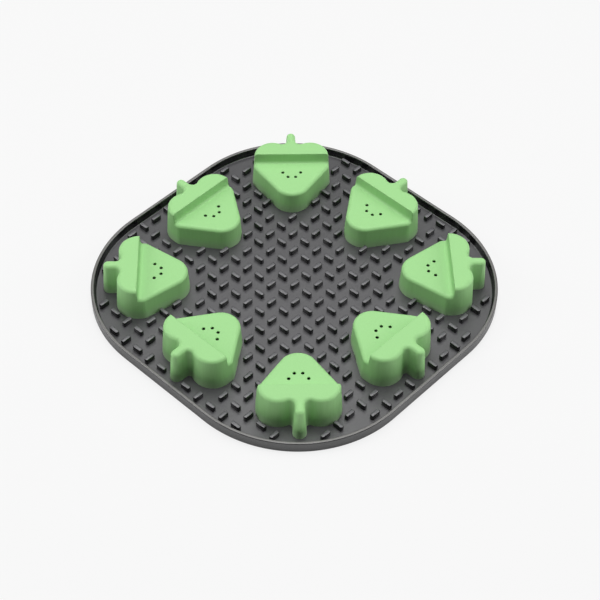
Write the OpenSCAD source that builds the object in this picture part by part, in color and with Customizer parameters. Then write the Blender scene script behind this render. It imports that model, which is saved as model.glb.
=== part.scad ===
// Lick mat with strawberry-shaped treat caps.
// A square silicone tray with a low rim and a field of small bar-shaped nibs.
// Eight hollow caps stand in a ring on smooth places of the floor and lift off.
// Lengths are in millimetres. The origin is the middle of the mat's underside.

/* [Mat] */
// Side of the square mat
mat_side = 216; // [212:1:230]
// Radius of the mat's rounded corners
mat_corner_r = 75; // [68:1:80]
// Thickness of the floor
floor_t = 2; // [1.5:0.1:3]

/* [Rim] */
// Height of the rim above the table
rim_h = 7; // [6:0.25:9]
// Width of the rim's top
rim_w = 2; // [1.8:0.1:2.6]
// How far the rim's inner face leans inwards on its way down
rim_lean = 0.5; // [0.2:0.1:0.8]
// Rounding of the rim's two top edges
rim_edge_r = 0.6; // [0.3:0.05:0.8]
// Rounding between the rim and the floor
rim_fillet = 0.8; // [0.4:0.1:1.2]

/* [Nibs] */
// Spacing of the nibs along and across the mat
nib_pitch = 10; // [9:0.25:12]
// Length of a nib
nib_len = 5.7; // [5:0.1:6.2]
// Width of a nib
nib_w = 2.3; // [2:0.1:2.6]
// Height of a nib above the floor
nib_h = 2.8; // [2:0.1:3.5]
// Bevel of a nib's upright corners
nib_bevel = 0.4; // [0.2:0.05:0.6]
// Least distance from the end of a nib to the mat's outer edge
nib_edge_gap = 4; // [3.8:0.1:5]
// A nib whose middle lies nearer to a cap than this is left out
nib_drop_gap = 1.2; // [1:0.1:1.5]
// Least gap between a nib and a cap, which nibs beside a cap are moved to
nib_cap_gap = 0.9; // [0.6:0.1:1.2]

/* [Ring of caps] */
// Gap between the rim and the stem of a cap in a corner
corner_stem_gap = 3.97; // [2:0.01:6]
// Gap between the rim and the stem of a cap at a side
side_stem_gap = 3.3; // [2:0.1:5.5]

/* [Cap outline] */
// Width of a cap across its top
cap_w = 46.2; // [43:0.2:48]
// Distance from a cap's middle to the end of its tip
tip_reach = 15.9; // [14.5:0.1:17]
// Radius of the tip
tip_r = 11; // [9:0.25:12]
// Distance from a cap's middle to the centre of the berry's corners
corner_at = 10.3; // [9:0.1:11]
// Radius of the berry's corners
corner_r = 4; // [3:0.25:5]
// Distance from the centre of the berry's corners to the step
step_past = 2; // [1.5:0.1:2.5]
// Distance from the step to the centre of the leaf's lobes
lobe_past = 1; // [1:0.1:1.5]
// Radius of the leaf's lobes
lobe_r = 11.2; // [10.5:0.1:12]
// Radius of the crook between a lobe and the stem
crook_r = 1.8; // [1.4:0.1:2.2]
// Width of the stem at its top
stem_w = 5.2; // [4.6:0.1:6]
// Distance from a cap's middle to the end of the stem
stem_reach = 33; // [31:0.25:35]

/* [Cap height and walls] */
// Height of a cap's leaf and stem
leaf_h = 21.8; // [20:0.1:25]
// How far the berry's top lies below the leaf's top
step_h = 6.8; // [5.5:0.1:8]
// How far the walls lean outwards between the top and the base
cap_lean = 1.4; // [1:0.1:1.6]
// Rounding of a cap's top edges
cap_edge_r = 2; // [1:0.1:2.4]
// Rounding of the leaf's edge along the step
step_edge_r = 0.8; // [0.3:0.05:0.9]
// Thickness of a cap's wall at its top
cap_wall = 2; // [1.6:0.1:2.6]
// How much thicker the wall is inside the leaf, above the berry
leaf_wall_step = 0.4; // [0.3:0.05:0.6]
// Thickness of a cap's top
cap_top_t = 2; // [1.6:0.1:3]

/* [Scent holes] */
// Diameter of a scent hole
hole_d = 2; // [1.4:0.1:2.6]
// Distance from a cap's middle to the line of the inner holes, towards the tip
inner_hole_at = 0.6; // [0:0.1:1.5]
// Spacing of the two inner holes
inner_hole_gap = 4.7; // [4:0.1:6]
// Distance from a cap's middle to the line of the outer holes, towards the stem
outer_hole_at = 3.3; // [2.5:0.1:4.5]
// Spacing of the two outer holes
outer_hole_gap = 11.2; // [10:0.1:13]

/* [Cap seats] */
// Height of the raised seat that centres each cap
seat_h = 2; // [1.5:0.1:2.6]
// Gap between a seat and the inside of its cap
seat_gap = 0.5; // [0.3:0.05:0.8]

/* [Hidden] */
cap_count = 8;

// One overrun for every cut
over = 1;

// Mat
half_side = mat_side / 2;
corner_mid = half_side - mat_corner_r;
rim_base = rim_w + rim_lean + rim_fillet;
corner_reach = norm([corner_mid, corner_mid]) + mat_corner_r;
nib_rows = floor((half_side - nib_edge_gap) / nib_pitch);

// Cap, in its own frame: +X runs from the tip to the stem, +Y across
half_w = cap_w / 2;
step_at = corner_at + step_past;
lobe_at = step_at + lobe_past;
lobe_side = half_w - lobe_r;
corner_side = half_w - corner_r;
tip_at = tip_r - tip_reach;
berry_h = leaf_h - step_h;
stem_end_at = stem_reach - stem_w / 2;
tip_to_corner = [corner_at - tip_at, corner_side];
// Direction of the normal to the straight flank between the tip and a corner
flank_a = atan2(tip_to_corner.y, tip_to_corner.x) + acos((tip_r - corner_r) / norm(tip_to_corner));
// Depth of the crook, seen from the cap's middle
crook_floor = crook_at(0) - crook_r;

// Steps along the arcs of a cap's outline and of its edge rounding
tip_steps = 14;
corner_steps = 4;
lobe_steps = 12;
crook_steps = 4;
stem_steps = 8;
edge_steps = 4;
hole_steps = 16;

function arc(c, r, a0, a1, n) =
    [for (i = [0 : n]) c + r * [cos(a0 + (a1 - a0) * i / n), sin(a0 + (a1 - a0) * i / n)]];
function tail(list) = [for (i = [1 : len(list) - 1]) list[i]];
function front(list) = [for (i = [0 : len(list) - 2]) list[i]];
function flipped(list) = [for (i = [len(list) - 1 : -1 : 0]) [list[i].x, -list[i].y]];

// Crook between a lobe and the stem, on an outline that is grown by g
function crook_side(g) = stem_w / 2 + g + crook_r;
function crook_at(g) =
    lobe_at + sqrt(pow(lobe_r + g + crook_r, 2) - pow(lobe_side - crook_side(g), 2));
function crook_a(g) = -asin((lobe_side - crook_side(g)) / (lobe_r + g + crook_r));

// Half of the leaf and stem, from the end of the stem to the step, at +Y.
// Its last point lies at x, on the step or inside the rounding of the step's edge.
function leaf_half(g, x) = concat(
    tail(arc([stem_end_at, 0], stem_w / 2 + g, 0, 90, stem_steps / 2)),
    front(arc([crook_at(g), crook_side(g)], crook_r, 270, 180 + crook_a(g), crook_steps)),
    arc([lobe_at, lobe_side], lobe_r + g, crook_a(g), 90, lobe_steps),
    [[x, half_w + g]]
);
// Leaf and stem, from the step at -Y round the stem to the step at +Y
function leaf_line(g, x) = concat(
    flipped(leaf_half(g, x)),
    [[stem_end_at + stem_w / 2 + g, 0]],
    leaf_half(g, x)
);
// Berry beyond the step, from +Y round the tip to -Y
function berry_line(g) = concat(
    arc([corner_at, corner_side], corner_r + g, 90, flank_a, corner_steps),
    arc([tip_at, 0], tip_r + g, flank_a, 360 - flank_a, tip_steps),
    flipped(arc([corner_at, corner_side], corner_r + g, 90, flank_a, corner_steps))
);
// Whole outline of a cap without its stem, as one convex line
function body_line(g) = concat(
    flipped(arc([lobe_at, lobe_side], lobe_r + g, 0, 90, lobe_steps)),
    arc([lobe_at, lobe_side], lobe_r + g, 0, 90, lobe_steps),
    berry_line(g)
);

// Where the caps stand
function cap_turn(k) = k * 360 / cap_count;
function stem_gap_at(k) = k % 2 == 0 ? side_stem_gap : corner_stem_gap;
// Distance from the mat's middle to the middle of a cap
function cap_at(k) =
    (k % 2 == 0 ? half_side : corner_reach) - rim_base - stem_gap_at(k) - stem_reach - cap_lean;

// Rules for the field of nibs
function edge_normal(a, b) = [b.y - a.y, a.x - b.x] / norm(b - a);
// Each edge of a cap's base, as a point on it and its outward normal
BASE = body_line(cap_lean);
BASE_EDGES = [for (i = [0 : len(BASE) - 1])
    [BASE[i], edge_normal(BASE[i], BASE[(i + 1) % len(BASE)])]];
// Distance from a cap's base, in the cap's own frame
function body_gap(p) = max([for (e = BASE_EDGES) (p - e[0]) * e[1]]);
// Distance from a stem's base of a box round p, half as large as b
function stem_gap(p, b = [0, 0]) =
    let (dx = p.x - b.x - stem_reach - cap_lean, dy = abs(p.y) - b.y - stem_w / 2 - cap_lean)
    p.x < 0 ? half_side : norm([max(dx, 0), max(dy, 0)]) + min(max(dx, dy), 0);
function away(p) = [for (e = BASE_EDGES) if ((p - e[0]) * e[1] == body_gap(p)) e[1]][0];
function nearest_cap(p) = round(atan2(p.y, p.x) * cap_count / 360 + cap_count) % cap_count;
function turned(p, a) = [p.x * cos(a) - p.y * sin(a), p.x * sin(a) + p.y * cos(a)];
function to_cap(p, k) = turned(p, -cap_turn(k)) - [cap_at(k), 0];
// Distance inside the mat's outer edge
function inset(p) =
    let (q = [abs(p.x) - corner_mid, abs(p.y) - corner_mid])
    mat_corner_r - norm([max(q.x, 0), max(q.y, 0)]) - min(max(q.x, q.y), 0);
function nib_reach(n, d) = nib_len / 2 * abs(n * d) + nib_w / 2 * abs(n * [-d.y, d.x]);
// A nib's middle, moved straight away from the nearest cap where it would stand too near
function nib_place(p, d) =
    let (
        k = nearest_cap(p),
        q = to_cap(p, k),
        n = turned(away(q), cap_turn(k)),
        short = nib_cap_gap + nib_reach(n, d) - body_gap(q)
    )
    short > 0 ? p + n * short : p;
// Least gap between a nib at its final place and the caps
function caps_gap(p, d) = min([for (k = [0 : cap_count - 1])
    let (
        q = to_cap(p, k),
        side = nib_reach(turned(away(q), cap_turn(k)), d),
        box = [nib_reach(turned([1, 0], cap_turn(k)), d), nib_reach(turned([0, 1], cap_turn(k)), d)]
    )
    min(body_gap(q) - side, stem_gap(q, box))]);
function nib_stays(p, d) =
    let (q = to_cap(p, nearest_cap(p)))
    min(body_gap(q), stem_gap(q)) > nib_drop_gap
        && inset(p + d * nib_len / 2) >= nib_edge_gap
        && inset(p - d * nib_len / 2) >= nib_edge_gap
        && caps_gap(nib_place(p, d), d) > nib_cap_gap / 2;

module rounded_square(side, r) {
    square([side, side - 2 * r], center = true);
    square([side - 2 * r, side], center = true);
    for (x = [-1, 1], y = [-1, 1])
        translate([x, y] * (side / 2 - r))
            circle(r, $fn = 96);
}

module mat_floor() {
    color("dimgray")
        linear_extrude(floor_t)
            rounded_square(mat_side - 2 * rim_base, mat_corner_r - rim_base);
}

// Section of the rim: x is the distance from the centre of a corner, y is height
module rim_section() {
    face = mat_corner_r - rim_w;
    polygon(concat(
        [[mat_corner_r - rim_base, 0], [mat_corner_r, 0]],
        arc([mat_corner_r - rim_edge_r, rim_h - rim_edge_r], rim_edge_r, 0, 90, 4),
        arc([face + rim_edge_r, rim_h - rim_edge_r], rim_edge_r, 90, 180, 4),
        arc([face - rim_lean - rim_fillet, floor_t + rim_fillet], rim_fillet, 0, -90, 4)
    ));
}

module mat_rim() {
    color("dimgray")
        for (a = [0 : 90 : 270])
            rotate([0, 0, a]) {
                translate([corner_mid, corner_mid, 0])
                    rotate_extrude(angle = 90, $fn = 96)
                        rim_section();
                translate([corner_mid, corner_mid, 0])
                    rotate([90, 0, 0])
                        linear_extrude(2 * corner_mid)
                            rim_section();
            }
}

module nib_outline() {
    l = nib_len / 2;
    w = nib_w / 2;
    b = nib_bevel;
    polygon([
        [l, b - w], [l, w - b], [l - b, w], [b - l, w],
        [-l, w - b], [-l, b - w], [b - l, -w], [l - b, -w]
    ]);
}

// The nibs turn a quarter from each place of the grid to the next, as on a chequerboard
module nibs() {
    color("dimgray")
        translate([0, 0, floor_t])
            linear_extrude(nib_h)
                for (i = [-nib_rows : nib_rows], j = [-nib_rows : nib_rows]) {
                    p = [i, j] * nib_pitch;
                    upright = (i + j) % 2 == 0;
                    d = upright ? [0, 1] : [1, 0];
                    if (nib_stays(p, d))
                        translate(nib_place(p, d))
                            rotate(upright ? 90 : 0)
                                nib_outline();
                }
}

// Floor plan of a cap's hollow, drawn in by g
module hollow_plan(g) {
    difference() {
        polygon(body_line(-cap_wall - g));
        translate([crook_floor - cap_wall - g, -crook_side(0) - cap_wall - g])
            square([stem_reach, 2 * (crook_side(0) + cap_wall + g)]);
    }
}

module cap_seats() {
    color("dimgray")
        for (k = [0 : cap_count - 1])
            rotate([0, 0, cap_turn(k)])
                translate([cap_at(k), 0, floor_t])
                    linear_extrude(seat_h)
                        hollow_plan(seat_gap);
}

// Outer form of a cap: a low berry and a taller leaf with its stem, over one base line.
// It reaches a little below the floor, where it is cut off flat along its ring at height 0.
module cap_form() {
    // Growth of the outline at height z, and at step i of the edge rounding below a top
    function lean(z) = cap_lean * (1 - z / leaf_h);
    function edge_z(top, i) = top - cap_edge_r * (1 - sin(90 * i / edge_steps));
    function edge_g(top, i) = lean(edge_z(top, i)) - cap_edge_r * (1 - cos(90 * i / edge_steps));
    function lift(line, z) = [for (p = line) [p.x, p.y, z]];
    // The leaf's rounded edge also runs along the step
    function edge_x(i) = step_at + step_edge_r * (1 - cos(90 * i / edge_steps));
    nl = len(leaf_line(0, step_at));
    nb = len(berry_line(0));
    n = nl + nb;
    // Rings of the wall: below the floor, on it, and where the berry's rounding starts
    levels = [-over, 0, edge_z(berry_h, 0)];
    wall_rings = [for (z = levels)
        lift(concat(leaf_line(lean(z), step_at), berry_line(lean(z))), z)];
    leaf_rings = [for (i = [0 : edge_steps])
        lift(leaf_line(edge_g(leaf_h, i), edge_x(i)), edge_z(leaf_h, i))];
    // A berry ring starts and ends on the step
    function berry_ring(g) = concat([[step_at, half_w + g]], berry_line(g), [[step_at, -half_w - g]]);
    berry_rings = [for (i = [1 : edge_steps])
        lift(berry_ring(edge_g(berry_h, i)), edge_z(berry_h, i))];
    points = concat(
        [for (r = wall_rings) each r],
        [for (r = leaf_rings) each r],
        [for (r = berry_rings) each r]
    );
    // Places of the rings in the list of points
    top = n * (len(levels) - 1);
    function leaf_i(i, j) = top + n + i * nl + j;
    function berry_i(i, j) =
        i > 0 ? top + n + (edge_steps + 1) * nl + (i - 1) * (nb + 2) + j
        : top + (nl - 1 + j) % n;
    // Two triangles between points a and b of one ring and points c and d above them
    function band(a, b, c, d) = [[a, c, d], [a, d, b]];
    faces = concat(
        [[for (j = [0 : n - 1]) j]],
        [for (i = [0 : n : top - n], j = [0 : n - 1])
            let (k = (j + 1) % n)
            each band(i + j, i + k, i + n + j, i + n + k)],
        [for (j = [0 : nl - 2])
            each band(top + j, top + j + 1, leaf_i(0, j), leaf_i(0, j + 1))],
        [for (i = [0 : edge_steps - 1], j = [0 : nl - 1])
            let (k = (j + 1) % nl)
            each band(leaf_i(i, j), leaf_i(i, k), leaf_i(i + 1, j), leaf_i(i + 1, k))],
        [for (i = [0 : edge_steps - 1], j = [0 : nb])
            each band(berry_i(i, j), berry_i(i, j + 1), berry_i(i + 1, j), berry_i(i + 1, j + 1))],
        [[for (j = [nl - 1 : -1 : 0]) leaf_i(edge_steps, j)]],
        [[for (j = [nb + 1 : -1 : 0]) berry_i(edge_steps, j)]],
        [concat(
            [leaf_i(0, nl - 1), leaf_i(0, 0)],
            [for (i = [0 : edge_steps]) berry_i(i, nb + 1)],
            [for (i = [edge_steps : -1 : 0]) berry_i(i, 0)]
        )]
    );
    polyhedron(points, faces);
}

module scent_holes() {
    places = [
        [-inner_hole_at, inner_hole_gap / 2], [-inner_hole_at, -inner_hole_gap / 2],
        [outer_hole_at, outer_hole_gap / 2], [outer_hole_at, -outer_hole_gap / 2]
    ];
    linear_extrude(leaf_h)
        for (c = places)
            polygon(front(arc(c, hole_d / 2, 0, 360, hole_steps)));
}

// Cap with its two-level hollow, cut off flat at the floor
module cap_moulding() {
    difference() {
        intersection() {
            cap_form();
            linear_extrude(leaf_h + over)
                square(4 * stem_reach, center = true);
        }
        translate([0, 0, -over])
            linear_extrude(berry_h - cap_top_t + over)
                hollow_plan(0);
        translate([0, 0, -over])
            linear_extrude(leaf_h - cap_top_t + over)
                intersection() {
                    hollow_plan(leaf_wall_step);
                    translate([step_at + cap_wall, -half_w])
                        square([lobe_r, cap_w]);
                }
        scent_holes();
    }
}

// A cap is sized as a whole, so its drafted and rounded walls stay one even mesh
module strawberry_cap(k) {
    color("lightgreen")
        rotate([0, 0, cap_turn(k)])
            translate([cap_at(k), 0, floor_t])
                resize([0, 0, leaf_h])
                    cap_moulding();
}

mat_floor();
mat_rim();
nibs();
cap_seats();
strawberry_cap(0);  // strawberry_cap_1
strawberry_cap(1);  // strawberry_cap_2
strawberry_cap(2);  // strawberry_cap_3
strawberry_cap(3);  // strawberry_cap_4
strawberry_cap(4);  // strawberry_cap_5
strawberry_cap(5);  // strawberry_cap_6
strawberry_cap(6);  // strawberry_cap_7
strawberry_cap(7);  // strawberry_cap_8
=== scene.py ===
"""Lick mat with strawberry-shaped treat caps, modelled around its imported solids."""
import math

import bmesh
import bpy
from mathutils import Matrix, Vector


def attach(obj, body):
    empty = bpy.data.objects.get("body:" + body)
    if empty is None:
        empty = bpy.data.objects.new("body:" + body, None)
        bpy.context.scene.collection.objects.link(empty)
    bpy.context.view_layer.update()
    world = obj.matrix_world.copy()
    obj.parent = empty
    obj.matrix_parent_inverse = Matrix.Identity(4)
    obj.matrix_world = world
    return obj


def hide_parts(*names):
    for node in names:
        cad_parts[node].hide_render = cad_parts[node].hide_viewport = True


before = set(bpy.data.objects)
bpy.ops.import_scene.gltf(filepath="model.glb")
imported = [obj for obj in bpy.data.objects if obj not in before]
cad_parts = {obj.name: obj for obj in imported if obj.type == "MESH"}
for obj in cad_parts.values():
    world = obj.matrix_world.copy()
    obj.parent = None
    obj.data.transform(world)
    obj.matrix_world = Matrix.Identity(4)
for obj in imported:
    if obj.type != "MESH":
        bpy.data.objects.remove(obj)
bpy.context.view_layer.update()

bpy.context.scene.view_settings.view_transform = "Standard"

# ---------------------------------------------------------------- sizes, in millimetres
MM = 0.001

# The mat
MAT_SIDE = 216
MAT_CORNER_R = 75
FLOOR_T = 2
RIM_H = 7
RIM_W = 2
RIM_LEAN = 0.5
RIM_FILLET = 0.8
RIM_EDGE_R = 0.6
RIM_FOOT_R = 0.3
RIM_BASE = RIM_W + RIM_LEAN + RIM_FILLET
FILLET_STEPS = 5
# Distance from the mat's middle to the centre of a corner, along X and Y
CORNER_MID = MAT_SIDE / 2 - MAT_CORNER_R

# A nib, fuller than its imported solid, as the photo shows it
NIB_LEN = 6.3
NIB_W = 2.5
NIB_H = 3.35
NIB_CORNER_R = 0.6
NIB_EDGE_R = 0.55
NIB_FOOT_R = 0.35

# A cap, in its own frame: +X runs from the berry's tip to the stem
CAP_HALF_W = 23.1
TIP_REACH = 15.9
TIP_R = 11
CORNER_AT = 10.3
CORNER_R = 4
STEP_AT = 12.3
LOBE_AT = 13.3
LOBE_R = 11.2
CROOK_R = 1.8
STEM_W = 5.2
STEM_REACH = 33
LEAF_H = 21.8
BERRY_H = 15
CAP_LEAN = 1.4
CAP_EDGE_R = 2
STEP_EDGE_R = 0.4
STEP_FOOT_R = 1.8
LEAF_CORNER_R = 0.6
CAP_WALL = 2
LEAF_WALL = 2.4
CAP_TOP_T = 2
HOLE_R = 1
HOLE_LIP = 0.2
HOLE_SKIN = 0.7
HOLE_FLARE_R = 2.2
HOLES = ((-0.6, 2.35), (-0.6, -2.35), (3.3, 5.6), (3.3, -5.6))
SEAT_H = 2
SEAT_GAP = 0.5
SEAT_EDGE_R = 0.4
# How far a cutter reaches past what it cuts
OVER = 1
# Width of the flat border beside a rounding
BORDER_W = 0.15
# Points nearer than this are one
MERGE_GAP = 0.005

# Where the caps stand
CAP_COUNT = 8
SIDE_CAP_AT = 67
CORNER_CAP_AT = 80


# ---------------------------------------------------------------- working by hand
def deselect():
    if bpy.context.mode != "OBJECT":
        bpy.ops.object.mode_set(mode="OBJECT")
    bpy.ops.object.select_all(action="DESELECT")


def take(*pieces):
    """Selects these pieces alone; the last one is the active one."""
    deselect()
    for piece in pieces:
        piece.select_set(True)
    bpy.context.view_layer.objects.active = pieces[-1]


def edit(piece):
    take(piece)
    bpy.ops.object.mode_set(mode="EDIT")


def middle(part):
    """The middle of a face, an edge or a point, in millimetres."""
    points = part.verts if hasattr(part, "verts") else [part]
    return sum((p.co for p in points), Vector()) / len(points) / MM


def pick(kind, test):
    """Selects, in edit mode, the faces, edges or points that pass the test."""
    bpy.ops.mesh.select_mode(type=kind)
    bpy.ops.mesh.select_all(action="DESELECT")
    shape = bmesh.from_edit_mesh(bpy.context.object.data)
    parts = {"VERT": shape.verts, "EDGE": shape.edges, "FACE": shape.faces}[kind]
    for part in parts:
        if test(part):
            part.select_set(True)
    shape.select_flush_mode()
    bmesh.update_edit_mesh(bpy.context.object.data)


def near(a, b, by=0.01):
    return abs(a - b) < by


def pull(x=0, y=0, z=0):
    """Extrudes what is selected."""
    bpy.ops.mesh.extrude_region_move(TRANSFORM_OT_translate={"value": (x * MM, y * MM, z * MM)})


def inset(by, up=0, even=True):
    bpy.ops.mesh.inset(thickness=by * MM, depth=up * MM, use_even_offset=even, use_boundary=True)


def ring_cut(height):
    """Cuts a ring of edges round the whole piece at a height."""
    bpy.ops.mesh.select_all(action="SELECT")
    bpy.ops.mesh.bisect(plane_co=(0, 0, height * MM), plane_no=(0, 0, 1))


def apply(piece, kind, **settings):
    take(piece)
    modifier = piece.modifiers.new(kind.lower(), kind)
    for name, value in settings.items():
        setattr(modifier, name, value)
    bpy.ops.object.modifier_apply(modifier=modifier.name)


def smooth(piece, degrees=32):
    take(piece)
    bpy.ops.object.shade_smooth_by_angle(angle=math.radians(degrees))


def discard(piece):
    take(piece)
    bpy.ops.object.delete()


def cut_away(piece, cutter):
    apply(piece, "BOOLEAN", operation="DIFFERENCE", solver="EXACT", object=cutter)
    discard(cutter)


def close_up():
    """Turns every face of a closed form outwards and leaves edit mode."""
    bpy.ops.mesh.select_all(action="SELECT")
    bpy.ops.mesh.normals_make_consistent(inside=False)
    bpy.ops.object.mode_set(mode="OBJECT")


def join(pieces, name):
    take(*pieces)
    bpy.ops.object.join()
    piece = bpy.context.object
    piece.name = piece.data.name = name
    return piece


def start_pen(name, x, y, z=0):
    """One point, from which an outline is drawn."""
    deselect()
    bpy.ops.mesh.primitive_plane_add(size=MM, location=(x * MM, y * MM, z * MM))
    piece = bpy.context.object
    piece.name = name
    bpy.ops.object.transform_apply(location=True)
    bpy.ops.object.mode_set(mode="EDIT")
    bpy.ops.mesh.select_mode(type="VERT")
    bpy.ops.mesh.select_all(action="SELECT")
    bpy.ops.mesh.merge(type="CENTER")
    return piece


def pen_at():
    shape = bmesh.from_edit_mesh(bpy.context.object.data)
    return middle(next(p for p in shape.verts if p.select))


def line_to(x, y):
    at = pen_at()
    bpy.ops.mesh.extrude_vertices_move(
        TRANSFORM_OT_translate={"value": ((x - at.x) * MM, (y - at.y) * MM, 0)})


def arc(x, y, degrees, steps):
    """Draws on round a centre, counter-clockwise seen from above."""
    bpy.ops.mesh.spin(steps=steps, angle=math.radians(degrees), center=(x * MM, y * MM, 0),
                      axis=(0, 0, -1))


def fill_outline(piece):
    """Mirrors the drawn half across the X axis and fills it with one face that points up."""
    bpy.ops.object.mode_set(mode="OBJECT")
    apply(piece, "MIRROR", use_axis=(False, True, False), merge_threshold=0.01 * MM)
    edit(piece)
    bpy.ops.mesh.select_all(action="SELECT")
    bpy.ops.mesh.edge_face_add()
    face = bmesh.from_edit_mesh(piece.data).faces
    face.ensure_lookup_table()
    if face[0].normal.z < 0:
        bpy.ops.mesh.flip_normals()


# ---------------------------------------------------------------- a cap's outline
FLANK = math.atan2(CAP_HALF_W - CORNER_R, CORNER_AT - TIP_R + TIP_REACH) + math.acos(
    (TIP_R - CORNER_R) / math.hypot(CORNER_AT - TIP_R + TIP_REACH, CAP_HALF_W - CORNER_R))
LOBE_SIDE = CAP_HALF_W - LOBE_R
CORNER_SIDE = CAP_HALF_W - CORNER_R
TIP_AT = TIP_R - TIP_REACH


def crook(grow):
    """Centre of the crook beside the stem, and where it leaves the lobe, in degrees."""
    side = STEM_W / 2 + grow + CROOK_R
    reach = LOBE_R + grow + CROOK_R
    along = LOBE_AT + math.sqrt(reach ** 2 - (LOBE_SIDE - side) ** 2)
    return along, side, math.degrees(-math.asin((LOBE_SIDE - side) / reach))


CROOK_FLOOR = crook(0)[0] - CROOK_R


def draw_berry(grow):
    """From the step round the berry's corner to its tip."""
    flank = math.degrees(FLANK)
    line_to(CORNER_AT, CAP_HALF_W + grow)
    arc(CORNER_AT, CORNER_SIDE, flank - 90, 8)
    line_to(TIP_AT + (TIP_R + grow) * math.cos(FLANK), (TIP_R + grow) * math.sin(FLANK))
    arc(TIP_AT, 0, 180 - flank, 20)


def draw_cap_outline(name, grow):
    """Half the outline from the stem's end to the berry's tip, then mirrored and filled."""
    along, side, turn = crook(grow)
    stem_r = STEM_W / 2 + grow
    stem_at = STEM_REACH - STEM_W / 2
    piece = start_pen(name, stem_at + stem_r, 0)
    arc(stem_at, 0, 90, 10)
    line_to(along, stem_r)
    arc(along, side, turn - 90, 6)
    arc(LOBE_AT, LOBE_SIDE, 90 - turn, 26)
    line_to(STEP_AT, CAP_HALF_W + grow)
    draw_berry(grow)
    fill_outline(piece)
    return piece


def draw_hollow_outline(name, wall, z=0):
    """The outline without its stem, drawn in by a wall, with a notch at the crooks."""
    piece = start_pen(name, CROOK_FLOOR - wall, 0, z)
    notch = crook(0)[1] + wall
    line_to(CROOK_FLOOR - wall, notch)
    line_to(LOBE_AT + LOBE_R - wall, notch)
    line_to(LOBE_AT + LOBE_R - wall, LOBE_SIDE)
    arc(LOBE_AT, LOBE_SIDE, 90, 18)
    line_to(STEP_AT, CAP_HALF_W - wall)
    draw_berry(-wall)
    fill_outline(piece)
    return piece


# ---------------------------------------------------------------- one cap
def border(height):
    """A flat border round a cap's top at a height, made without even offset."""
    pick("FACE", lambda f: f.normal.z > 0.999 and near(middle(f).z, height)
         and len(f.verts) > 8)
    inset(BORDER_W, even=False)


def model_cap():
    """A moulded cap: the lower berry, the leaf with its stem, the hollow and the scent holes."""
    lean_to = BERRY_H / LEAF_H
    cap = draw_cap_outline("cap_master", CAP_LEAN)
    inset(CAP_LEAN * lean_to, BERRY_H)

    # The step divides the top; the leaf rises from it
    pick("VERT", lambda p: near(middle(p).z, BERRY_H) and near(middle(p).x, STEP_AT))
    bpy.ops.mesh.vert_connect_path()
    pick("FACE", lambda f: near(middle(f).z, BERRY_H) and middle(f).x > STEP_AT + 1)
    inset(CAP_LEAN * (1 - lean_to), LEAF_H - BERRY_H)

    # The open foot is closed, to be hollowed out below
    pick("EDGE", lambda e: e.is_boundary)
    bpy.ops.mesh.edge_face_add()
    bpy.ops.mesh.select_all(action="SELECT")
    bpy.ops.mesh.normals_make_consistent(inside=False)

    # Rounded edges, each with its own share of the widest rounding
    def on_step(edge):
        return all(abs(p.co.x / MM - STEP_AT) < 0.6 for p in edge.verts)

    def level(edge, height):
        return all(near(p.co.z / MM, height) for p in edge.verts)

    shares = (
        (1, lambda e: level(e, LEAF_H) and not on_step(e)),
        (1, lambda e: level(e, BERRY_H) and not on_step(e) and middle(e).x < STEP_AT),
        (STEP_EDGE_R / CAP_EDGE_R, lambda e: level(e, LEAF_H) and on_step(e)),
        (STEP_FOOT_R / CAP_EDGE_R, lambda e: level(e, BERRY_H) and on_step(e)),
        (LEAF_CORNER_R / CAP_EDGE_R, lambda e: on_step(e) and abs(middle(e).y) > TIP_R
            and near(middle(e).z, (BERRY_H + LEAF_H) / 2)),
    )
    for share, test in shares:
        pick("EDGE", test)
        bpy.ops.transform.edge_bevelweight(value=share)
    bpy.ops.object.mode_set(mode="OBJECT")
    apply(cap, "BEVEL", limit_method="WEIGHT", width=CAP_EDGE_R * MM, segments=6,
          use_clamp_overlap=False)

    # A narrow flat border keeps the shading of the roundings off the flat tops and walls
    edit(cap)
    border(BERRY_H)
    ring_cut(BERRY_H - CAP_EDGE_R - BORDER_W)
    ring_cut(LEAF_H - CAP_EDGE_R - BORDER_W)
    bpy.ops.object.mode_set(mode="OBJECT")

    hollow_out(cap)
    edit(cap)
    border(LEAF_H)
    # Points that lie on each other are merged, so that every face has an area
    bpy.ops.mesh.select_all(action="SELECT")
    bpy.ops.mesh.remove_doubles(threshold=MERGE_GAP * MM)
    close_up()
    smooth(cap)
    return cap


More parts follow.
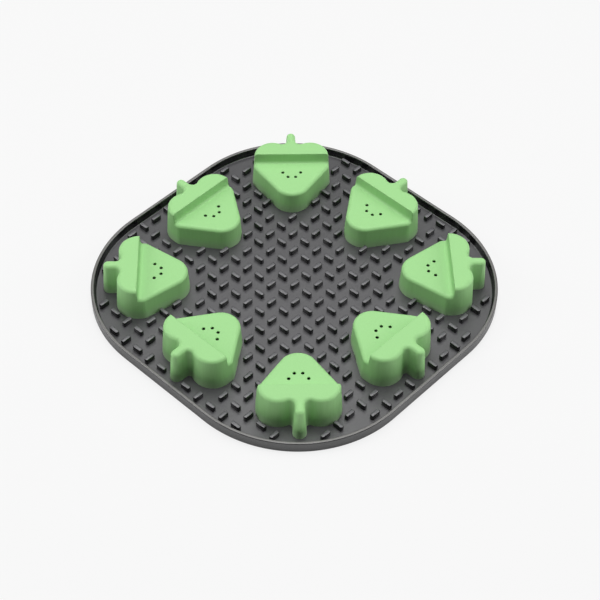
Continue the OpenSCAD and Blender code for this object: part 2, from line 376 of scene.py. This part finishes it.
def hollow_out(cap):
    """The hollow under the berry, the deeper one under the leaf, and the flared scent holes."""
    berry = draw_hollow_outline("berry_hollow", CAP_WALL, -OVER)
    pull(z=BERRY_H - CAP_TOP_T + OVER)
    close_up()
    cut_away(cap, berry)

    leaf = draw_hollow_outline("leaf_hollow", LEAF_WALL, OVER)
    pull(z=LEAF_H - CAP_TOP_T - OVER)
    bpy.ops.mesh.select_all(action="SELECT")
    bpy.ops.mesh.bisect(plane_co=((STEP_AT + CAP_WALL) * MM, 0, 0), plane_no=(-1, 0, 0),
                        use_fill=True, clear_outer=True)
    close_up()
    cut_away(cap, leaf)

    for x, y in HOLES:
        deselect()
        low, lip = BERRY_H - HOLE_SKIN, BERRY_H - HOLE_LIP
        bpy.ops.mesh.primitive_cylinder_add(
            vertices=28, radius=HOLE_R * MM, depth=(lip - low) * MM,
            location=(x * MM, y * MM, (lip + low) / 2 * MM))
        hole = bpy.context.object
        bpy.ops.object.transform_apply(location=True)
        edit(hole)
        pick("FACE", lambda f: f.normal.z > 0.9)
        pull(z=HOLE_LIP)
        bpy.ops.transform.resize(value=(1 + HOLE_LIP / HOLE_R, 1 + HOLE_LIP / HOLE_R, 1))
        pull(z=OVER)
        # Below a thin skin the hole widens
        pick("FACE", lambda f: f.normal.z < -0.9)
        pull(z=HOLE_SKIN - CAP_TOP_T)
        bpy.ops.transform.resize(value=(HOLE_FLARE_R / HOLE_R, HOLE_FLARE_R / HOLE_R, 1))
        pull(z=-OVER)
        close_up()
        cut_away(cap, hole)


def place_cap_copy(master, k, name):
    """A copy with its own mesh, in the place of cap k."""
    take(master)
    bpy.ops.object.duplicate()
    copy = bpy.context.object
    copy.name = copy.data.name = name
    turn = math.tau * k / CAP_COUNT
    reach = (SIDE_CAP_AT if k % 2 == 0 else CORNER_CAP_AT) * MM
    copy.rotation_euler = (0, 0, turn)
    copy.location = (reach * math.cos(turn), reach * math.sin(turn), FLOOR_T * MM)
    bpy.ops.object.transform_apply(location=True, rotation=True, scale=True)
    return copy


# ---------------------------------------------------------------- the mat
def model_seats():
    """The low raised seats that centre the caps."""
    master = draw_hollow_outline("seat_master", CAP_WALL + SEAT_GAP)
    pull(z=SEAT_H)
    close_up()
    edit(master)
    pick("EDGE", lambda e: all(near(p.co.z / MM, SEAT_H) for p in e.verts)
         and not e.is_boundary and any(f.normal.z < 0.5 for f in e.link_faces))
    bpy.ops.mesh.bevel(offset=SEAT_EDGE_R * MM, segments=3, affect="EDGES", clamp_overlap=False)
    bpy.ops.object.mode_set(mode="OBJECT")
    smooth(master)
    seats = [place_cap_copy(master, k, f"seat_{k + 1}") for k in range(CAP_COUNT)]
    discard(master)
    return join(seats, "raised_cap_seats")


def model_rim():
    """The rim: a rounded square drawn up, hollowed by insets down to the floor, edges rounded."""
    deselect()
    bpy.ops.mesh.primitive_plane_add(size=MAT_SIDE * MM)
    rim = bpy.context.object
    rim.name = rim.data.name = "rolled_rim"
    edit(rim)
    bpy.ops.mesh.select_all(action="SELECT")
    bpy.ops.mesh.bevel(offset=MAT_CORNER_R * MM, segments=44, affect="VERTICES",
                       clamp_overlap=False)
    bpy.ops.mesh.select_all(action="SELECT")
    pull(z=RIM_H)
    # The top face is drawn in and down: lip, leaning inner wall, fillet
    pick("FACE", lambda f: near(middle(f).z, RIM_H) and len(f.verts) > 8)
    inset(RIM_W)
    wall = RIM_H - FLOOR_T - RIM_FILLET
    inset(RIM_LEAN, -wall)
    for i in range(FILLET_STEPS):
        a, b = (math.radians(90 * (i + j) / FILLET_STEPS) for j in (0, 1))
        inset(RIM_FILLET * (math.cos(a) - math.cos(b)), -RIM_FILLET * (math.sin(b) - math.sin(a)))
    # The inner face and a matching one underneath are opened and joined by a wall
    bpy.ops.mesh.delete(type="FACE")
    pick("FACE", lambda f: near(middle(f).z, 0) and len(f.verts) > 8)
    inset(RIM_BASE)
    bpy.ops.mesh.delete(type="FACE")
    pick("EDGE", lambda e: e.is_boundary)
    bpy.ops.mesh.bridge_edge_loops()

    def edge_at(height, inner):
        def test(edge):
            x, y = (abs(v) for v in middle(edge).xy)
            out = max(x, y) if min(x, y) < CORNER_MID else (
                math.hypot(x - CORNER_MID, y - CORNER_MID) + CORNER_MID)
            flat = all(near(p.co.z / MM, height) for p in edge.verts)
            ends = [f.normal.z for f in edge.link_faces]
            return flat and near(out, MAT_SIDE / 2 - (RIM_W if inner else 0), 0.2) and (
                max(ends) - min(ends) > 0.5)
        return test

    for height, inner, r, segments in (
            (RIM_H, False, RIM_EDGE_R, 5), (RIM_H, True, RIM_EDGE_R, 5), (0, False, RIM_FOOT_R, 3)):
        pick("EDGE", edge_at(height, inner))
        bpy.ops.mesh.bevel(offset=r * MM, segments=segments, affect="EDGES", clamp_overlap=False)
    close_up()
    smooth(rim)
    return rim


def model_nib():
    """One nib: a bar with rounded upright corners, a softened top edge and a fillet at its foot."""
    deselect()
    bpy.ops.mesh.primitive_cube_add(size=MM)
    nib = bpy.context.object
    nib.name = "nib_master"
    edit(nib)
    bpy.ops.mesh.select_all(action="SELECT")
    bpy.ops.transform.resize(value=(NIB_LEN, NIB_W, NIB_H))
    bpy.ops.transform.translate(value=(0, 0, NIB_H / 2 * MM))
    pick("EDGE", lambda e: near(middle(e).z, NIB_H / 2))
    bpy.ops.mesh.bevel(offset=NIB_CORNER_R * MM, segments=2, affect="EDGES", clamp_overlap=False)
    pick("FACE", lambda f: f.normal.z > 0.9)
    bpy.ops.mesh.bevel(offset=NIB_EDGE_R * MM, segments=2, affect="EDGES", clamp_overlap=False)
    pick("FACE", lambda f: f.normal.z < -0.9)
    bpy.ops.transform.translate(value=(0, 0, NIB_FOOT_R * MM))
    inset(-NIB_FOOT_R, NIB_FOOT_R)
    close_up()
    smooth(nib, 50)
    return nib


def nib_places():
    """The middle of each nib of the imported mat, and whether it runs along Y."""
    take(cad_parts["nibs"])
    bpy.ops.object.duplicate()
    edit(bpy.context.object)
    bpy.ops.mesh.select_all(action="SELECT")
    bpy.ops.mesh.remove_doubles(threshold=0.01 * MM)
    bpy.ops.mesh.separate(type="LOOSE")
    bpy.ops.object.mode_set(mode="OBJECT")
    loose = list(bpy.context.selected_objects)
    places = []
    for piece in loose:
        xs, ys = ([p.co[i] for p in piece.data.vertices] for i in (0, 1))
        at = ((min(xs) + max(xs)) / 2, (min(ys) + max(ys)) / 2)
        places.append((at, max(ys) - min(ys) > max(xs) - min(xs)))
    take(*loose)
    bpy.ops.object.delete()
    return sorted(places)


def model_nibs():
    master = model_nib()
    nibs = []
    for (x, y), upright in nib_places():
        take(master)
        bpy.ops.object.duplicate()
        nib = bpy.context.object
        nib.location = (x, y, FLOOR_T * MM)
        nib.rotation_euler = (0, 0, math.pi / 2 if upright else 0)
        bpy.ops.object.transform_apply(location=True, rotation=True, scale=True)
        nibs.append(nib)
    discard(master)
    return join(nibs, "nib_field")


# ---------------------------------------------------------------- colours and materials
def tint(code):
    """An sRGB hex colour as linear red, green, blue and alpha."""
    parts = [int(code[i:i + 2], 16) / 255 for i in (1, 3, 5)]
    return [p / 12.92 if p <= 0.04045 else ((p + 0.055) / 1.055) ** 2.4 for p in parts] + [1]


def new_material(name):
    material = bpy.data.materials.new(name)
    material.use_nodes = True
    return material, material.node_tree, material.node_tree.nodes["Principled BSDF"]


def add(tree, kind, sockets=None, **settings):
    """Adds a node with its settings, and with a value or a link for each named socket."""
    node = tree.nodes.new(kind)
    for name, value in settings.items():
        setattr(node, name, value)
    wire(tree, node, sockets or {})
    return node


def wire(tree, node, sockets):
    for name, value in sockets.items():
        if isinstance(value, bpy.types.NodeSocket):
            tree.links.new(value, node.inputs[name])
        else:
            node.inputs[name].default_value = value


def per_mm(size):
    """Texture scale at which one feature is this many millimetres wide."""
    return 1 / (size * MM)


def charcoal_silicone():
    """Black-filled silicone rubber, compression moulded in a blasted steel mould.

    Carbon black swallows what enters, so the grey that the eye sees is partly the sheen of the
    satin skin, and faces that mirror nothing bright look black. The rest of the grey is painted
    light: faces that point up are painted paler, and the tops of the nibs and of the rim paler
    still, as painted highlights. The blasted mould leaves a fine even grain, and handling leaves
    soft cloudy changes of gloss.
    """
    material, tree, skin = new_material("charcoal silicone, moulded satin")
    at = add(tree, "ShaderNodeTexCoord").outputs["Object"]
    # The real grain is about 0.1 mm, too fine to show: drawn at 0.6 mm
    grain = add(tree, "ShaderNodeTexNoise", {"Vector": at, "Scale": per_mm(0.6), "Detail": 2.0})
    cloud = add(tree, "ShaderNodeTexNoise", {"Vector": at, "Scale": per_mm(18), "Detail": 3.0})
    shade = add(tree, "ShaderNodeMix", {"Factor": grain.outputs["Fac"], "A": tint("#0B0B0D"),
                                        "B": tint("#131315")}, data_type="RGBA")
    # Painted light: all that faces up is painted paler, a painted top light and sheen, and the tops
    # of the nibs and of the rim are painted paler still, as painted highlights
    height = add(tree, "ShaderNodeSeparateXYZ", {"Vector": at}).outputs["Z"]
    facing = add(tree, "ShaderNodeSeparateXYZ", {
        "Vector": add(tree, "ShaderNodeNewGeometry").outputs["Normal"]}).outputs["Z"]
    upward = add(tree, "ShaderNodeMapRange", {"Value": facing, "From Min": 0.7, "From Max": 0.97})
    for low, high, tone in ((0, 1, "#2D2C30"), (4.8, 5.3, "#58575B"), (6.2, 6.9, "#605E5C")):
        painted_top_light_mask = add(tree, "ShaderNodeMapRange", {
            "Value": height, "From Min": low * MM, "From Max": high * MM,
            "To Max": upward.outputs["Result"]})
        shade = add(tree, "ShaderNodeMix", {
            "Factor": painted_top_light_mask.outputs["Result"], "A": shade.outputs["Result"], "B": tint(tone)},
            data_type="RGBA")
    gloss = add(tree, "ShaderNodeMapRange", {"Value": cloud.outputs["Fac"], "From Min": 0.3,
                                             "From Max": 0.7, "To Min": 0.42, "To Max": 0.48})
    # The upright walls were cut by a polished tool and mirror the dark floor
    finish = add(tree, "ShaderNodeMix", {"Factor": upward.outputs["Result"], "A": 0.27,
                                         "B": gloss.outputs["Result"]}, data_type="FLOAT")
    relief = add(tree, "ShaderNodeBump", {"Height": grain.outputs["Fac"], "Strength": 0.25,
                                          "Distance": 0.05 * MM})
    wire(tree, skin, {"Base Color": shade.outputs["Result"], "Roughness": finish.outputs["Result"],
                      "Normal": relief.outputs["Normal"], "IOR": 1.55,
                      "Specular IOR Level": 1.0})
    return material


def green_silicone():
    """Light green silicone rubber, injection moulded, with a matte skin.

    The mould's walls were ground upright, which leaves faint upright streaks on the
    sides; its floor was blasted, which leaves the tops an even fine grain.
    """
    material, tree, skin = new_material("light green silicone, moulded matte")
    at = add(tree, "ShaderNodeTexCoord").outputs["Object"]
    # The real grain is about 0.1 mm, too fine to show: drawn at 0.7 mm
    grain = add(tree, "ShaderNodeTexNoise", {"Vector": at, "Scale": per_mm(0.7), "Detail": 2.0})
    # Streaks 0.9 mm wide that run the height of the wall
    upright = add(tree, "ShaderNodeMapping", {"Vector": at, "Scale": (1, 1, 0.03)})
    streak = add(tree, "ShaderNodeTexNoise", {"Vector": upright.outputs["Vector"],
                                              "Scale": per_mm(0.9), "Detail": 1.0})
    facing = add(tree, "ShaderNodeSeparateXYZ", {
        "Vector": add(tree, "ShaderNodeNewGeometry").outputs["Normal"]})
    side = add(tree, "ShaderNodeMapRange", {"Value": facing.outputs["Z"], "From Min": 0.1,
                                            "From Max": 0.6, "To Min": 1.0, "To Max": 0.0})
    marks = add(tree, "ShaderNodeMix", {"Factor": side.outputs["Result"],
                                        "A": grain.outputs["Fac"], "B": streak.outputs["Fac"]},
                data_type="FLOAT")
    shade = add(tree, "ShaderNodeMix", {"Factor": marks.outputs["Result"],
                                        "A": tint("#96CD86"), "B": tint("#A1D690")},
                data_type="RGBA")
    # The foot of the walls is painted greyer: a painted reflection of the dark mat and painted
    # contact shade
    height = add(tree, "ShaderNodeSeparateXYZ", {"Vector": at}).outputs["Z"]
    painted_foot_shade = add(tree, "ShaderNodeMapRange", {"Value": height, "From Min": 3 * MM,
                                            "From Max": 9 * MM, "To Min": 0.45, "To Max": 0.0})
    shade = add(tree, "ShaderNodeMix", {"Factor": painted_foot_shade.outputs["Result"],
                                        "A": shade.outputs["Result"], "B": tint("#A3B29B")},
                data_type="RGBA")
    relief = add(tree, "ShaderNodeBump", {"Height": marks.outputs["Result"], "Strength": 0.2,
                                          "Distance": 0.05 * MM})
    wire(tree, skin, {"Base Color": shade.outputs["Result"], "Roughness": 0.55,
                      "Normal": relief.outputs["Normal"], "IOR": 1.43})
    return material


def dress(piece, material, body=None, replaced=()):
    """Gives a piece its material; a new piece also rides, stands for its nodes and has a slot."""
    piece.data.materials.clear()
    piece.data.materials.append(material)
    if body:
        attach(piece, body)
        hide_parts(*replaced)


# ---------------------------------------------------------------- the object
charcoal = charcoal_silicone()
green = green_silicone()

dress(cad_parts["mat_floor"], charcoal)
dress(model_rim(), charcoal, "mat", ["mat_rim"])
dress(model_nibs(), charcoal, "mat", ["nibs"])
dress(model_seats(), charcoal, "mat", ["cap_seats"])

cap_master = model_cap()
for k in range(CAP_COUNT):
    cap = place_cap_copy(cap_master, k, f"treat_cap_{k + 1}")
    dress(cap, green, f"cap_{k + 1}", [f"strawberry_cap_{k + 1}"])
discard(cap_master)


# ---------------------------------------------------------------- floor, lights and camera
def pale_table():
    """A white laminate table: it takes the object's shadow and looks pale to the camera."""
    material, tree, skin = new_material("white table, matte laminate")
    wire(tree, skin, {"Base Color": tint("#F2F2F2"), "Roughness": 0.7})
    glow = add(tree, "ShaderNodeEmission", {"Color": tint("#F7F7F7"), "Strength": 1.0})
    seen = add(tree, "ShaderNodeLightPath").outputs["Is Camera Ray"]
    share = add(tree, "ShaderNodeMath", {0: seen, 1: 0.85}, operation="MULTIPLY")
    blend = add(tree, "ShaderNodeMixShader", {0: share.outputs[0], 1: skin.outputs[0],
                                              2: glow.outputs[0]})
    wire(tree, tree.nodes["Material Output"], {"Surface": blend.outputs[0]})
    return material


deselect()
bpy.ops.mesh.primitive_plane_add(size=8, location=(0, 0, -0.0001))
table = bpy.context.object
table.name = "table"
dress(table, pale_table())


def soft_light(name, azimuth, elevation, distance, size, watts):
    """A square softbox that faces the object, at a compass angle and height in degrees."""
    deselect()
    a, e = math.radians(azimuth), math.radians(elevation)
    at = Vector((math.cos(a) * math.cos(e), math.sin(a) * math.cos(e), math.sin(e))) * distance
    bpy.ops.object.light_add(type="AREA", location=at)
    lamp = bpy.context.object
    lamp.name = name
    lamp.rotation_euler = (-at).to_track_quat("-Z", "Y").to_euler()
    lamp.data.size = size
    lamp.data.energy = watts


# A studio table's four boxes: one overhead, one behind the object and one low at each side
soft_light("softbox_top", 0, 89.9, 1.5, 0.9, 14)
soft_light("softbox_back", 132.8, 60, 1.5, 0.9, 5.5)
soft_light("softbox_left", 222.8, 30, 1.5, 0.9, 9.3)
soft_light("softbox_right", 42.8, 30, 1.5, 0.9, 9)

world = bpy.data.worlds.new("studio")
bpy.context.scene.world = world
world.use_nodes = True
sky = world.node_tree
ambient = sky.nodes["Background"]
wire(sky, ambient, {"Color": (1, 1, 1, 1), "Strength": 0.03})
plain = add(sky, "ShaderNodeBackground", {"Color": tint("#F7F7F7"), "Strength": 1.0})
seen = add(sky, "ShaderNodeLightPath").outputs["Is Camera Ray"]
either = add(sky, "ShaderNodeMixShader", {0: seen, 1: ambient.outputs[0], 2: plain.outputs[0]})
wire(sky, sky.nodes["World Output"], {"Surface": either.outputs[0]})

# A 96 mm lens on a 36 mm frame, 0.95 m from the mat, turned slightly on its own axis
CAMERA_AT = Vector((439.96, -475.18, 712.3)) * MM
CAMERA_AIM = Vector((10.59, -6.57, 3.2)) * MM
CAMERA_ROLL = 1.286
deselect()
bpy.ops.object.camera_add(location=CAMERA_AT)
camera = bpy.context.object
camera.name = "photo_camera"
facing = (CAMERA_AIM - CAMERA_AT).to_track_quat("-Z", "Y").to_matrix().to_4x4()
camera.matrix_world = (Matrix.Translation(CAMERA_AT) @ facing
                       @ Matrix.Rotation(math.radians(CAMERA_ROLL), 4, "Z"))
camera.data.lens = 95.98
camera.data.sensor_width = 36
camera.data.clip_end = 20
bpy.context.scene.camera = camera

deselect()
